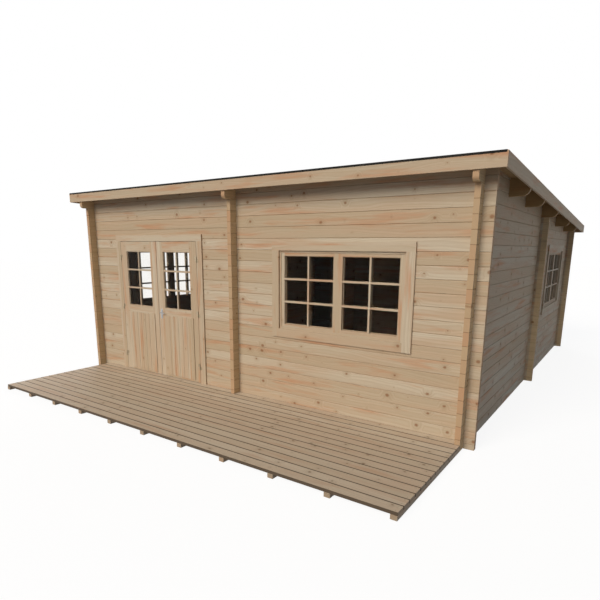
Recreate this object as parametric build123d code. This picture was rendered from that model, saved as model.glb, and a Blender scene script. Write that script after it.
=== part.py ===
from build123d import *
import os

# Log courses: planed logs with bevelled edges, laid half a course apart on walls that cross
LOG_HEIGHT = 135.0
LOG_THICKNESS = 56.0
LOG_BEVEL = 6.0
LOG_END_REACH = 110.0
ACROSS_FIRST_JOINT = 53.0
LAP_SHARE = 0.5

# House plan, measured from the outer face of the front wall and from the middle of the width
HOUSE_WIDTH = 6012.0
FRONT_ROOM_DEPTH = 3129.0
REAR_ROOM_DEPTH = 3261.0

# Roof: one slope that falls to the back
FRONT_EAVE_TOP = 2778.0
ROOF_FALL = 336.0
FRONT_OVERHANG = 227.0
BACK_OVERHANG = 402.0
SIDE_OVERHANG = 229.0
ROOF_BOARD_THICKNESS = 16.0
FASCIA_THICKNESS = 20.0
FASCIA_HEIGHT = 117.0
FELT_THICKNESS = 4.0
FELT_SIDE_MARGIN = 12.0
PURLIN_HEIGHT = 186.0
PURLIN_NOSE_RADIUS = 80.0
FRONT_ROOM_PURLIN_SHARES = (0.3, 0.6)
REAR_ROOM_PURLIN_SHARES = (0.43, 0.77)
TOP_LOG_NOSE_RADIUS = 45.0

# Floor inside and terrace outside
FLOOR_JOIST_HEIGHT = 40.0
FLOOR_JOIST_WIDTH = 60.0
FLOOR_JOIST_PITCH = 620.0
FLOOR_BOARD_THICKNESS = 20.0
TERRACE_DEPTH = 1637.0
TERRACE_LEFT_INSET = 157.0
TERRACE_BOARD_COUNT = 14
TERRACE_BOARD_THICKNESS = 28.0
TERRACE_BOARD_GAP = 6.0
TERRACE_JOIST_COUNT = 11
TERRACE_JOIST_WIDTH = 58.0
TERRACE_JOIST_HEIGHT = 40.0
TERRACE_JOIST_REACH = 6.0
TERRACE_CLEARANCE = 5.0

# Door and window frames
FRAME_THICKNESS = 28.0
CASING_WIDTH = 100.0
CASING_THICKNESS = 20.0
STOP_WIDTH = 15.0

# Double entrance door
DOOR_FROM_LEFT = 1503.0
COURSES_OVER_DOOR = 5
DOOR_HEAD_CASING = 88.0
LEAF_PAIR_WIDTH = 1628.0
LEAF_THICKNESS = 40.0
LEAF_GAP = 5.0
LEAF_MEETING_GAP = 8.0
LEAF_GROUND_GAP = 8.0
LEAF_STILE = 135.0
LEAF_TOP_RAIL = 144.0
LEAF_MIDDLE_RAIL = 100.0
LEAF_BOTTOM_RAIL = 30.0
LEAF_GLASS_HEIGHT = 806.0
PANEL_RISE = 10.0
PANEL_OVERLAP = 40.0
PANEL_RECESS = 8.0
PANEL_BOARD_COUNT = 6
PANEL_GROOVE = 4.0
GLASS_THICKNESS = 4.0
GLASS_EDGE = 8.0
GLASS_CLEARANCE = 0.3

# Hinges and lever handle
HINGE_RADIUS = 8.0
HINGE_CLEARANCE = 0.3
HINGE_KNUCKLE = 40.0
HINGE_FLAP_WIDTH = 34.0
HINGE_FLAP_THICKNESS = 3.0
HINGE_HEIGHT_SHARES = (0.12, 0.5, 0.88)
HANDLE_HEIGHT = 1012.0
HANDLE_PLATE_WIDTH = 36.0
HANDLE_PLATE_HEIGHT = 146.0
HANDLE_PLATE_THICKNESS = 5.0
HANDLE_FROM_EDGE = 55.0
HANDLE_SPINDLE = 16.0
HANDLE_SPINDLE_CLEARANCE = 0.5
HANDLE_LEVER_THICKNESS = 18.0
HANDLE_LEVER_LENGTH = 115.0
HANDLE_STANDOFF = 45.0
HANDLE_LEVER_RISE_SHARE = 0.1

# Double windows
WINDOW_WIDTH = 1610.0
WINDOW_COURSES = 7
COURSES_OVER_WINDOW = 6
FRONT_WINDOW_FROM_RIGHT = 1503.0
LEFT_WINDOW_FROM_FRONT = 1503.0
RIGHT_WINDOW_FROM_BACK = 1503.0
WINDOW_CASING_LIP = 4.0
SASH_STILE = 45.0
SASH_MEETING_STILE = 58.0
SASH_RAIL = 36.0
SASH_THICKNESS = 68.0
SASH_SETBACK = 6.0
SASH_CLEARANCE = 0.5

# Plain doorways between the rooms
INNER_DOORWAY_WIDTH = 840.0
PARTITION_DOORWAY_Y = 2200.0
CROSS_DOORWAY_FROM_PARTITION = 458.0

# Places worked out from the sizes above
LEFT_FACE = -HOUSE_WIDTH / 2
RIGHT_FACE = HOUSE_WIDTH / 2
CROSS_WALL_Y = LOG_THICKNESS + FRONT_ROOM_DEPTH
REAR_ROOM_START = CROSS_WALL_Y + LOG_THICKNESS
BACK_CROSSING = REAR_ROOM_START + REAR_ROOM_DEPTH
HOUSE_DEPTH = BACK_CROSSING + LOG_THICKNESS
PARTITION_LEFT = -LOG_THICKNESS / 2
PARTITION_RIGHT = LOG_THICKNESS / 2
ACROSS_TONGUE = LOG_HEIGHT * LAP_SHARE
ALONG_TONGUE = LOG_HEIGHT - ACROSS_TONGUE
ALONG_FIRST_JOINT = ACROSS_FIRST_JOINT + ALONG_TONGUE
ACROSS_COURSES = int((FRONT_EAVE_TOP - ACROSS_FIRST_JOINT) // LOG_HEIGHT)
ALONG_COURSES = int((FRONT_EAVE_TOP - ALONG_FIRST_JOINT) // LOG_HEIGHT)
ROOF_LENGTH = HOUSE_DEPTH + FRONT_OVERHANG + BACK_OVERHANG
ROOF_HALF_WIDTH = HOUSE_WIDTH / 2 + SIDE_OVERHANG
TERRACE_TOP = TERRACE_JOIST_HEIGHT + TERRACE_BOARD_THICKNESS
FRONT_EDGE = -TERRACE_DEPTH - TERRACE_JOIST_REACH
BACK_EDGE = HOUSE_DEPTH + BACK_OVERHANG
MIDDLE_Y = (FRONT_EDGE + BACK_EDGE) / 2
LEAF_WIDTH = (LEAF_PAIR_WIDTH - LEAF_MEETING_GAP) / 2
LEAF_FACE = -CASING_THICKNESS
LEAF_BACK = LEAF_FACE + LEAF_THICKNESS
FRAME_BACK = LOG_THICKNESS + CASING_THICKNESS
DOOR_MIDDLE = LEFT_FACE + DOOR_FROM_LEFT
DOOR_HEAD = ACROSS_FIRST_JOINT + (ACROSS_COURSES - COURSES_OVER_DOOR) * LOG_HEIGHT
DOOR_CLEAR_HALF = LEAF_PAIR_WIDTH / 2 + LEAF_GAP
DOOR_HOLE_HALF = DOOR_CLEAR_HALF + FRAME_THICKNESS
LEAF_TOP = DOOR_HEAD - FRAME_THICKNESS - LEAF_GAP
LEAF_BOTTOM = TERRACE_TOP + LEAF_GROUND_GAP
LEAF_GLASS_TOP = LEAF_TOP - LEAF_TOP_RAIL
LEAF_GLASS_BOTTOM = LEAF_GLASS_TOP - LEAF_GLASS_HEIGHT
HINGE_Y = LEAF_FACE - HINGE_RADIUS
WINDOW_HEAD_COURSE = ACROSS_COURSES - COURSES_OVER_WINDOW
WINDOW_HEAD = ACROSS_FIRST_JOINT + WINDOW_HEAD_COURSE * LOG_HEIGHT
WINDOW_SILL = ACROSS_FIRST_JOINT + (WINDOW_HEAD_COURSE - WINDOW_COURSES) * LOG_HEIGHT
FRONT_WINDOW_MIDDLE = RIGHT_FACE - FRONT_WINDOW_FROM_RIGHT
RIGHT_WINDOW_MIDDLE = HOUSE_DEPTH - RIGHT_WINDOW_FROM_BACK
INNER_DOORWAY_HEAD = DOOR_HEAD
CROSS_DOORWAY_RIGHT = PARTITION_LEFT - CROSS_DOORWAY_FROM_PARTITION
CROSS_DOORWAY_LEFT = CROSS_DOORWAY_RIGHT - INNER_DOORWAY_WIDTH
FLOOR_TOP = FLOOR_JOIST_HEIGHT + FLOOR_BOARD_THICKNESS


def save(node, *solids):
    """Write the solids of one named piece, moved so that the origin is under the middle of the house."""
    moved = [solid.moved(Location((0, -MIDDLE_Y, 0))) for piece in solids for solid in piece.solids()]
    shape = moved[0] if len(moved) == 1 else Compound(moved)
    export_step(shape, os.path.join("parts", node + ".step"))


def block(x0, x1, y0, y1, z0, z1):
    """A squared timber between two corners."""
    size = Box(abs(x1 - x0), abs(y1 - y0), abs(z1 - z0))
    return Pos((x0 + x1) / 2, (y0 + y1) / 2, (z0 + z1) / 2) * size


def roof_top(y):
    """Height of the boarded roof's upper face at a distance from the front wall."""
    return FRONT_EAVE_TOP - ROOF_FALL * (y + FRONT_OVERHANG) / ROOF_LENGTH


def roof_slab(x0, x1, y0, y1, above, below):
    """A plate that follows the roof's slope, between two offsets from its upper face."""
    outline = Polyline(
        (y0, roof_top(y0) - below),
        (y1, roof_top(y1) - below),
        (y1, roof_top(y1) + above),
        (y0, roof_top(y0) + above),
        close=True,
    )
    plane = Plane(origin=(x0, 0, 0), x_dir=(0, 1, 0), z_dir=(1, 0, 0))
    return extrude(plane * make_face(outline), amount=x1 - x0)


def log_outline(bottom, top, first_joint):
    """Section of stacked logs: plain inside, and bevelled along every joint on the outer face."""
    courses = range(round((top - first_joint) / LOG_HEIGHT + 1))
    joints = [first_joint + course * LOG_HEIGHT for course in courses]
    outline = [(LOG_THICKNESS, top), (LOG_THICKNESS, bottom)]
    outline += [(LOG_BEVEL, bottom), (0, bottom + LOG_BEVEL)] if bottom in joints else [(0, bottom)]
    for joint in joints:
        if bottom + LOG_BEVEL < joint < top - LOG_BEVEL:
            outline += [(0, joint - LOG_BEVEL), (LOG_BEVEL, joint), (0, joint + LOG_BEVEL)]
    outline += [(0, top - LOG_BEVEL), (LOG_BEVEL, top)] if top in joints else [(0, top)]
    return outline


def log_run(axis, face, inward, start, stop, bottom, top):
    """Stacked logs along one axis, from start to stop, with the outer face at a place."""
    if axis == "across":
        origin = (start if inward > 0 else stop, face, 0)
        plane = Plane(origin=origin, x_dir=(0, inward, 0), z_dir=(inward, 0, 0))
        outline = log_outline(bottom, top, ACROSS_FIRST_JOINT)
    else:
        origin = (face, stop if inward > 0 else start, 0)
        plane = Plane(origin=origin, x_dir=(inward, 0, 0), z_dir=(0, -inward, 0))
        outline = log_outline(bottom, top, ALONG_FIRST_JOINT)
    return extrude(plane * make_face(Polyline(*outline, close=True)), amount=stop - start)


def lap_notches(axis, face, inward, start, bottom, top):
    """What is cut from the underside of each log where another wall crosses, so that a tongue is left."""
    across = axis == "across"
    first_joint = ACROSS_FIRST_JOINT if across else ALONG_FIRST_JOINT
    height = ALONG_TONGUE if across else ACROSS_TONGUE
    depth = face + inward * LOG_THICKNESS
    stop = start + LOG_THICKNESS
    joint = first_joint - LOG_HEIGHT
    notches = []
    while joint < top:
        low = max(joint, bottom)
        high = min(joint + height, top)
        joint += LOG_HEIGHT
        if low < high:
            place = (start, stop, face, depth) if across else (face, depth, start, stop)
            notches.append(block(*place, low, high))
    return notches


def lapped_wall(axis, face, inward, start, stop, bottom, top, crossings):
    """One length of stacked logs, notched to lap with each wall that crosses it."""
    wall = log_run(axis, face, inward, start, stop, bottom, top)
    for crossing in crossings:
        wall = wall.cut(*lap_notches(axis, face, inward, crossing, bottom, top))
    return wall


def front_nose(face):
    """The top log of a wall that runs on under the front eave, with its lower end rounded."""
    bottom = ALONG_FIRST_JOINT + (ALONG_COURSES - 1) * LOG_HEIGHT
    y0 = FASCIA_THICKNESS - FRONT_OVERHANG
    outline = Polyline(
        (y0, bottom),
        (-LOG_END_REACH, bottom),
        (-LOG_END_REACH, FRONT_EAVE_TOP),
        (y0, FRONT_EAVE_TOP),
        close=True,
    )
    section = make_face(outline)
    corner = section.vertices().sort_by(Axis.X)[:2].sort_by(Axis.Y)[0]
    section = fillet(corner, TOP_LOG_NOSE_RADIUS)
    plane = Plane(origin=(face, 0, 0), x_dir=(0, 1, 0), z_dir=(1, 0, 0))
    return extrude(plane * section, amount=LOG_THICKNESS)


def purlin(y):
    """A log on edge under the roof boards, with both lower ends rounded."""
    reach = ROOF_HALF_WIDTH - FASCIA_THICKNESS
    bottom = purlin_bottom(y)
    top = FRONT_EAVE_TOP
    outline = Polyline((-reach, bottom), (reach, bottom), (reach, top), (-reach, top), close=True)
    section = make_face(outline)
    corners = section.vertices().sort_by(Axis.Y)[:2]
    section = fillet(corners, PURLIN_NOSE_RADIUS)
    plane = Plane(origin=(0, y + LOG_THICKNESS, 0), x_dir=(1, 0, 0), z_dir=(0, -1, 0))
    return extrude(plane * section, amount=LOG_THICKNESS) - SKY


def purlin_bottom(y):
    """Height of a purlin's underside, from the roof over its front face."""
    return roof_top(y) - ROOF_BOARD_THICKNESS - PURLIN_HEIGHT


# Everything above the underside of the roof boards, which trims walls and purlins to the slope
SKY_SIDES = (-ROOF_HALF_WIDTH, ROOF_HALF_WIDTH)
SKY = roof_slab(*SKY_SIDES, FRONT_EDGE, BACK_EDGE, FRONT_EAVE_TOP, ROOF_BOARD_THICKNESS)
PURLIN_PLACES = [LOG_THICKNESS + share * FRONT_ROOM_DEPTH for share in FRONT_ROOM_PURLIN_SHARES]
PURLIN_PLACES += [CROSS_WALL_Y]
PURLIN_PLACES += [REAR_ROOM_START + share * REAR_ROOM_DEPTH for share in REAR_ROOM_PURLIN_SHARES]
PURLINS = [purlin(y) for y in PURLIN_PLACES]
CROSS_WALL_TOP = purlin_bottom(CROSS_WALL_Y)

LEFT_CROSSING = LEFT_FACE
PARTITION_CROSSING = PARTITION_LEFT
RIGHT_CROSSING = RIGHT_FACE - LOG_THICKNESS
LEFT_END = LEFT_FACE - LOG_END_REACH
RIGHT_END = RIGHT_FACE + LOG_END_REACH
FRONT_END = -LOG_END_REACH
BACK_END = HOUSE_DEPTH + LOG_END_REACH


def under_roof(wall):
    """Trim a wall to the roof's slope and notch its top for the purlins."""
    return wall.cut(SKY, *PURLINS)


def front_wall():
    """Front wall: sill log, lengths beside the door and window, and the logs over them."""
    door_left = DOOR_MIDDLE - DOOR_HOLE_HALF
    door_right = DOOR_MIDDLE + DOOR_HOLE_HALF
    window_left = FRONT_WINDOW_MIDDLE - WINDOW_WIDTH / 2
    window_right = FRONT_WINDOW_MIDDLE + WINDOW_WIDTH / 2
    every = (LEFT_CROSSING, PARTITION_CROSSING, RIGHT_CROSSING)
    lengths = {
        "front_sill_log": (LEFT_END, RIGHT_END, 0, ACROSS_FIRST_JOINT, every),
        "front_wall_left": (LEFT_END, door_left, ACROSS_FIRST_JOINT, DOOR_HEAD, (LEFT_CROSSING,)),
        "front_wall_middle": (
            door_right, window_left, ACROSS_FIRST_JOINT, WINDOW_HEAD, (PARTITION_CROSSING,)
        ),
        "front_wall_right": (window_right, RIGHT_END, ACROSS_FIRST_JOINT, WINDOW_HEAD, (RIGHT_CROSSING,)),
        "front_wall_below_window": (window_left, window_right, ACROSS_FIRST_JOINT, WINDOW_SILL, ()),
        "front_window_header_log": (
            door_right, RIGHT_END, WINDOW_HEAD, DOOR_HEAD, (PARTITION_CROSSING, RIGHT_CROSSING)
        ),
        "front_wall_upper": (LEFT_END, RIGHT_END, DOOR_HEAD, FRONT_EAVE_TOP, every),
    }
    for node, (start, stop, bottom, top, crossings) in lengths.items():
        wall = lapped_wall("across", 0, 1, start, stop, bottom, top, crossings)
        save(node, wall - SKY if top == FRONT_EAVE_TOP else wall)


def side_wall(side, face, inward, window_middle):
    """A side wall: lengths in front of and behind its window, and logs below and above it."""
    window_front = window_middle - WINDOW_WIDTH / 2
    window_rear = window_middle + WINDOW_WIDTH / 2
    crossings = (0, CROSS_WALL_Y, BACK_CROSSING)
    before = [place for place in crossings if place < window_front]
    behind = [place for place in crossings if place > window_rear]
    nose = front_nose(min(face, face + inward * LOG_THICKNESS))
    front = lapped_wall("along", face, inward, FRONT_END, window_front, 0, FRONT_EAVE_TOP, before)
    rear = lapped_wall("along", face, inward, window_rear, BACK_END, 0, FRONT_EAVE_TOP, behind)
    below = log_run("along", face, inward, window_front, window_rear, 0, WINDOW_SILL)
    above = log_run("along", face, inward, window_front, window_rear, WINDOW_HEAD, FRONT_EAVE_TOP)
    save(side + "_wall_front", under_roof(front.fuse(nose)).clean())
    save(side + "_wall_rear", under_roof(rear))
    save(side + "_wall_below_window", below)
    save(side + "_wall_above_window", under_roof(above))


def back_wall():
    """Back wall: plain log courses from corner to corner."""
    wall = lapped_wall(
        "across", HOUSE_DEPTH, -1, LEFT_END, RIGHT_END, 0, FRONT_EAVE_TOP, (LEFT_CROSSING, RIGHT_CROSSING)
    )
    save("back_wall", wall - SKY)


def inner_walls():
    """Partition between the front rooms, and the cross wall before the rear room, with doorways."""
    near = PARTITION_DOORWAY_Y - INNER_DOORWAY_WIDTH / 2
    far = PARTITION_DOORWAY_Y + INNER_DOORWAY_WIDTH / 2
    face = PARTITION_RIGHT
    front = lapped_wall("along", face, -1, FRONT_END, near, 0, FRONT_EAVE_TOP, (0,))
    rear = log_run("along", face, -1, far, CROSS_WALL_Y, 0, FRONT_EAVE_TOP)
    over = log_run("along", face, -1, near, far, INNER_DOORWAY_HEAD, FRONT_EAVE_TOP)
    save("partition_front", under_roof(front.fuse(front_nose(PARTITION_LEFT)).clean()))
    save("partition_rear", under_roof(rear))
    save("partition_over_doorway", under_roof(over))
    left = CROSS_DOORWAY_LEFT
    right = CROSS_DOORWAY_RIGHT
    top = CROSS_WALL_TOP
    y = CROSS_WALL_Y
    save("cross_wall_left", lapped_wall("across", y, 1, LEFT_END, left, 0, top, (LEFT_CROSSING,)))
    save("cross_wall_right", lapped_wall("across", y, 1, right, RIGHT_END, 0, top, (RIGHT_CROSSING,)))
    save("cross_wall_over_doorway", log_run("across", y, 1, left, right, INNER_DOORWAY_HEAD, top))


def roof():
    """Roof boards on purlins, felt turned down over their front ends, and a fascia along each edge.

    The boards end over the front and back fascias. The side fascias rise to cover the boards' long edges,
    and their ends are notched over the front and back fascias.
    """
    full = ROOF_HALF_WIDTH
    inner = full - FASCIA_THICKNESS
    front = -FRONT_OVERHANG
    boards = ROOF_BOARD_THICKNESS
    save("roof_boards", roof_slab(-inner, inner, front, BACK_EDGE, 0, boards))
    felt_half = full - FELT_SIDE_MARGIN
    felt_front = front - FELT_THICKNESS
    felt = roof_slab(-felt_half, felt_half, felt_front, BACK_EDGE, FELT_THICKNESS, 0)
    lip = roof_slab(-felt_half, felt_half, felt_front, front, FELT_THICKNESS, boards)
    save("roof_felt", felt.fuse(lip).clean())
    low = boards + FASCIA_HEIGHT
    front_fascia = roof_slab(-full, full, front, front + FASCIA_THICKNESS, -boards, low)
    back_fascia = roof_slab(-full, full, BACK_EDGE - FASCIA_THICKNESS, BACK_EDGE, -boards, low)
    save("front_fascia", front_fascia)
    save("back_fascia", back_fascia)
    for side, start in (("left", -full), ("right", inner)):
        fascia = roof_slab(start, start + FASCIA_THICKNESS, front, BACK_EDGE, 0, low)
        save(side + "_fascia", fascia.cut(front_fascia, back_fascia))
    save("roof_purlins", *PURLINS)


def floor():
    """Floor boards of the three rooms on joists that lie on the ground."""
    inner_left = LEFT_FACE + LOG_THICKNESS
    inner_right = RIGHT_FACE - LOG_THICKNESS
    rooms = (
        (inner_left, PARTITION_LEFT, LOG_THICKNESS, CROSS_WALL_Y),
        (PARTITION_RIGHT, inner_right, LOG_THICKNESS, CROSS_WALL_Y),
        (inner_left, inner_right, REAR_ROOM_START, BACK_CROSSING),
    )
    boards = [block(*room, FLOOR_JOIST_HEIGHT, FLOOR_TOP) for room in rooms]
    joists = []
    for x0, x1, y0, y1 in rooms:
        spans = round((x1 - x0 - FLOOR_JOIST_WIDTH) / FLOOR_JOIST_PITCH)
        pitch = (x1 - x0 - FLOOR_JOIST_WIDTH) / spans
        for index in range(spans + 1):
            start = x0 + index * pitch
            joists.append(block(start, start + FLOOR_JOIST_WIDTH, y0, y1, 0, FLOOR_JOIST_HEIGHT))
    save("floor_boards", *boards)
    save("floor_joists", *joists)


def terrace():
    """Terrace boards that run with the front wall, on joists that lie on the ground."""
    left = LEFT_FACE + TERRACE_LEFT_INSET
    reach = LOG_END_REACH + TERRACE_CLEARANCE
    half = LOG_THICKNESS / 2 + TERRACE_CLEARANCE
    log_ends = [
        block(-half, half, -reach, 0, 0, TERRACE_TOP),
        block(RIGHT_CROSSING - TERRACE_CLEARANCE, RIGHT_FACE, -reach, 0, 0, TERRACE_TOP),
    ]
    pitch = (TERRACE_DEPTH + TERRACE_BOARD_GAP) / TERRACE_BOARD_COUNT
    boards = []
    for index in range(TERRACE_BOARD_COUNT):
        front = -TERRACE_DEPTH + index * pitch
        rear = front + pitch - TERRACE_BOARD_GAP
        board = block(left, RIGHT_FACE, front, rear, TERRACE_JOIST_HEIGHT, TERRACE_TOP)
        boards += board.cut(*log_ends).solids()
    span = RIGHT_FACE - left - TERRACE_JOIST_WIDTH
    joists = []
    for index in range(TERRACE_JOIST_COUNT):
        start = left + index * span / (TERRACE_JOIST_COUNT - 1)
        joist = block(start, start + TERRACE_JOIST_WIDTH, FRONT_EDGE, 0, 0, TERRACE_JOIST_HEIGHT)
        joists += joist.cut(*log_ends).solids()
    save("terrace_boards", *boards)
    save("terrace_joists", *joists)


def door_frame():
    """Jambs and head that grip the log ends, with casings outside and inside, and a threshold."""
    for side, way in (("left", -1), ("right", 1)):
        clear = DOOR_MIDDLE + way * DOOR_CLEAR_HALF
        back = clear + way * FRAME_THICKNESS
        edge = clear + way * CASING_WIDTH
        stop = clear - way * STOP_WIDTH
        outline = Polyline(
            (clear, LEAF_FACE), (edge, LEAF_FACE), (edge, 0), (back, 0), (back, LOG_THICKNESS),
            (edge, LOG_THICKNESS), (edge, FRAME_BACK), (stop, FRAME_BACK), (stop, LEAF_BACK + LEAF_GAP),
            (clear, LEAF_BACK + LEAF_GAP), close=True,
        )
        section = Pos(0, 0, TERRACE_TOP) * make_face(outline)
        jamb = extrude(section, amount=DOOR_HEAD - FRAME_THICKNESS - TERRACE_TOP, dir=(0, 0, 1))
        save("door_jamb_" + side, jamb)
    low = DOOR_HEAD - FRAME_THICKNESS
    high = low + DOOR_HEAD_CASING
    wide = DOOR_CLEAR_HALF + CASING_WIDTH
    inside = DOOR_CLEAR_HALF - STOP_WIDTH
    left = DOOR_MIDDLE - wide
    right = DOOR_MIDDLE + wide
    head = block(left, right, LEAF_FACE, FRAME_BACK, low, high)
    head -= block(left, right, 0, LOG_THICKNESS, DOOR_HEAD, high)
    head -= block(left, DOOR_MIDDLE - DOOR_HOLE_HALF, 0, LOG_THICKNESS, low, high)
    head -= block(DOOR_MIDDLE + DOOR_HOLE_HALF, right, 0, LOG_THICKNESS, low, high)
    stop_low = low - STOP_WIDTH
    head += block(DOOR_MIDDLE - inside, DOOR_MIDDLE + inside, LEAF_BACK + LEAF_GAP, FRAME_BACK, stop_low, low)
    save("door_head", head.clean())
    hole_left = DOOR_MIDDLE - DOOR_HOLE_HALF
    hole_right = DOOR_MIDDLE + DOOR_HOLE_HALF
    save("door_threshold", block(hole_left, hole_right, 0, LOG_THICKNESS, ACROSS_FIRST_JOINT, TERRACE_TOP))


def hinge_heights():
    """Heights where the two knuckles of each hinge meet."""
    return [LEAF_BOTTOM + share * (LEAF_TOP - LEAF_BOTTOM) for share in HINGE_HEIGHT_SHARES]


def hinge_halves(way, flap_way, bottom_offset):
    """One knuckle per hinge on a flap, which is screwed to the casing or to the door leaf."""
    axis = DOOR_MIDDLE + way * (LEAF_PAIR_WIDTH + LEAF_GAP) / 2
    halves = []
    for height in hinge_heights():
        low = height + bottom_offset
        high = low + HINGE_KNUCKLE
        knuckle = Pos(axis, HINGE_Y, (low + high) / 2) * Cylinder(HINGE_RADIUS, HINGE_KNUCKLE)
        near = axis + flap_way * LEAF_GAP / 2
        far = axis + flap_way * HINGE_FLAP_WIDTH
        flap = block(near, far, LEAF_FACE - HINGE_FLAP_THICKNESS, LEAF_FACE, low, high)
        halves.append(knuckle.fuse(flap).clean())
    return halves


def door_leaf(way):
    """Door leaf: stiles and rails, a glazed upper half and a boarded panel that stands proud outside."""
    hinge_edge = DOOR_MIDDLE + way * LEAF_PAIR_WIDTH / 2
    meeting_edge = hinge_edge - way * LEAF_WIDTH
    glass_a = hinge_edge - way * LEAF_STILE
    glass_b = meeting_edge + way * LEAF_STILE
    leaf = block(hinge_edge, meeting_edge, LEAF_FACE, LEAF_BACK, LEAF_BOTTOM, LEAF_TOP)
    leaf -= block(glass_a, glass_b, LEAF_FACE, LEAF_BACK, LEAF_GLASS_BOTTOM, LEAF_GLASS_TOP)
    middle = (LEAF_FACE + LEAF_BACK) / 2
    leaf -= block(
        glass_a + way * GLASS_EDGE, glass_b - way * GLASS_EDGE,
        middle - GLASS_THICKNESS / 2 - GLASS_CLEARANCE, middle + GLASS_THICKNESS / 2 + GLASS_CLEARANCE,
        LEAF_GLASS_BOTTOM - GLASS_EDGE, LEAF_GLASS_TOP + GLASS_EDGE,
    )
    panel_top = LEAF_GLASS_BOTTOM - LEAF_MIDDLE_RAIL
    panel_bottom = LEAF_BOTTOM + LEAF_BOTTOM_RAIL
    lap = way * PANEL_OVERLAP
    panel_face = LEAF_FACE - PANEL_RISE
    recess = LEAF_BACK - PANEL_RECESS
    leaf += block(glass_a + lap, glass_b - lap, panel_face, LEAF_FACE, panel_bottom, panel_top)
    leaf -= block(glass_a, glass_b, recess, LEAF_BACK, panel_bottom, panel_top)
    board = (glass_b - glass_a) / PANEL_BOARD_COUNT
    for face, inward in ((panel_face, 1), (recess, -1)):
        for index in range(1, PANEL_BOARD_COUNT):
            seam = glass_a + index * board
            leaf -= block(
                seam - PANEL_GROOVE / 2, seam + PANEL_GROOVE / 2,
                face, face + inward * PANEL_GROOVE, panel_bottom, panel_top,
            )
    pane = block(
        glass_a + way * (GLASS_EDGE - GLASS_CLEARANCE), glass_b - way * (GLASS_EDGE - GLASS_CLEARANCE),
        middle - GLASS_THICKNESS / 2, middle + GLASS_THICKNESS / 2,
        LEAF_GLASS_BOTTOM - GLASS_EDGE + GLASS_CLEARANCE, LEAF_GLASS_TOP + GLASS_EDGE - GLASS_CLEARANCE,
    )
    return leaf, pane


def door_handle():
    """Lever handle: a plate and flat lever on each face of the right leaf, on one square spindle."""
    x = DOOR_MIDDLE + LEAF_MEETING_GAP / 2 + HANDLE_FROM_EDGE
    half = HANDLE_PLATE_WIDTH / 2
    low = HANDLE_HEIGHT - HANDLE_PLATE_HEIGHT / 2
    high = HANDLE_HEIGHT + HANDLE_PLATE_HEIGHT / 2
    lever_z = HANDLE_HEIGHT + HANDLE_LEVER_RISE_SHARE * HANDLE_PLATE_HEIGHT
    outer = LEAF_FACE - HANDLE_STANDOFF
    inner = LEAF_BACK + HANDLE_STANDOFF
    middle_y = (outer + inner) / 2
    place = Pos(x, middle_y, lever_z)
    reach = inner - outer
    hole_size = HANDLE_SPINDLE + HANDLE_SPINDLE_CLEARANCE * 2
    pieces = [
        block(x - half, x + half, LEAF_FACE - HANDLE_PLATE_THICKNESS, LEAF_FACE, low, high),
        block(x - half, x + half, LEAF_BACK, LEAF_BACK + HANDLE_PLATE_THICKNESS, low, high),
    ]
    lever = Box(HANDLE_LEVER_LENGTH, HANDLE_LEVER_THICKNESS, HANDLE_SPINDLE)
    lever_x = x + (HANDLE_LEVER_LENGTH - HANDLE_SPINDLE) / 2
    pieces += [Pos(lever_x, y, lever_z) * lever for y in (outer, inner)]
    spindle = place * Box(HANDLE_SPINDLE, reach, HANDLE_SPINDLE)
    return spindle.fuse(*pieces).clean(), place * Box(hole_size, reach, hole_size)


def doors():
    """The two door leaves with their glass, hinges and handle."""
    handle, spindle_hole = door_handle()
    for side, way in (("left", -1), ("right", 1)):
        leaf, pane = door_leaf(way)
        if way > 0:
            leaf = leaf - spindle_hole
        save(side + "_door_leaf", leaf)
        save(side + "_door_glass", pane)
        save(side + "_door_hinges", *hinge_halves(way, -way, HINGE_CLEARANCE))
        save(side + "_frame_hinges", *hinge_halves(way, way, -HINGE_KNUCKLE))
    save("door_handle", handle)


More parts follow.
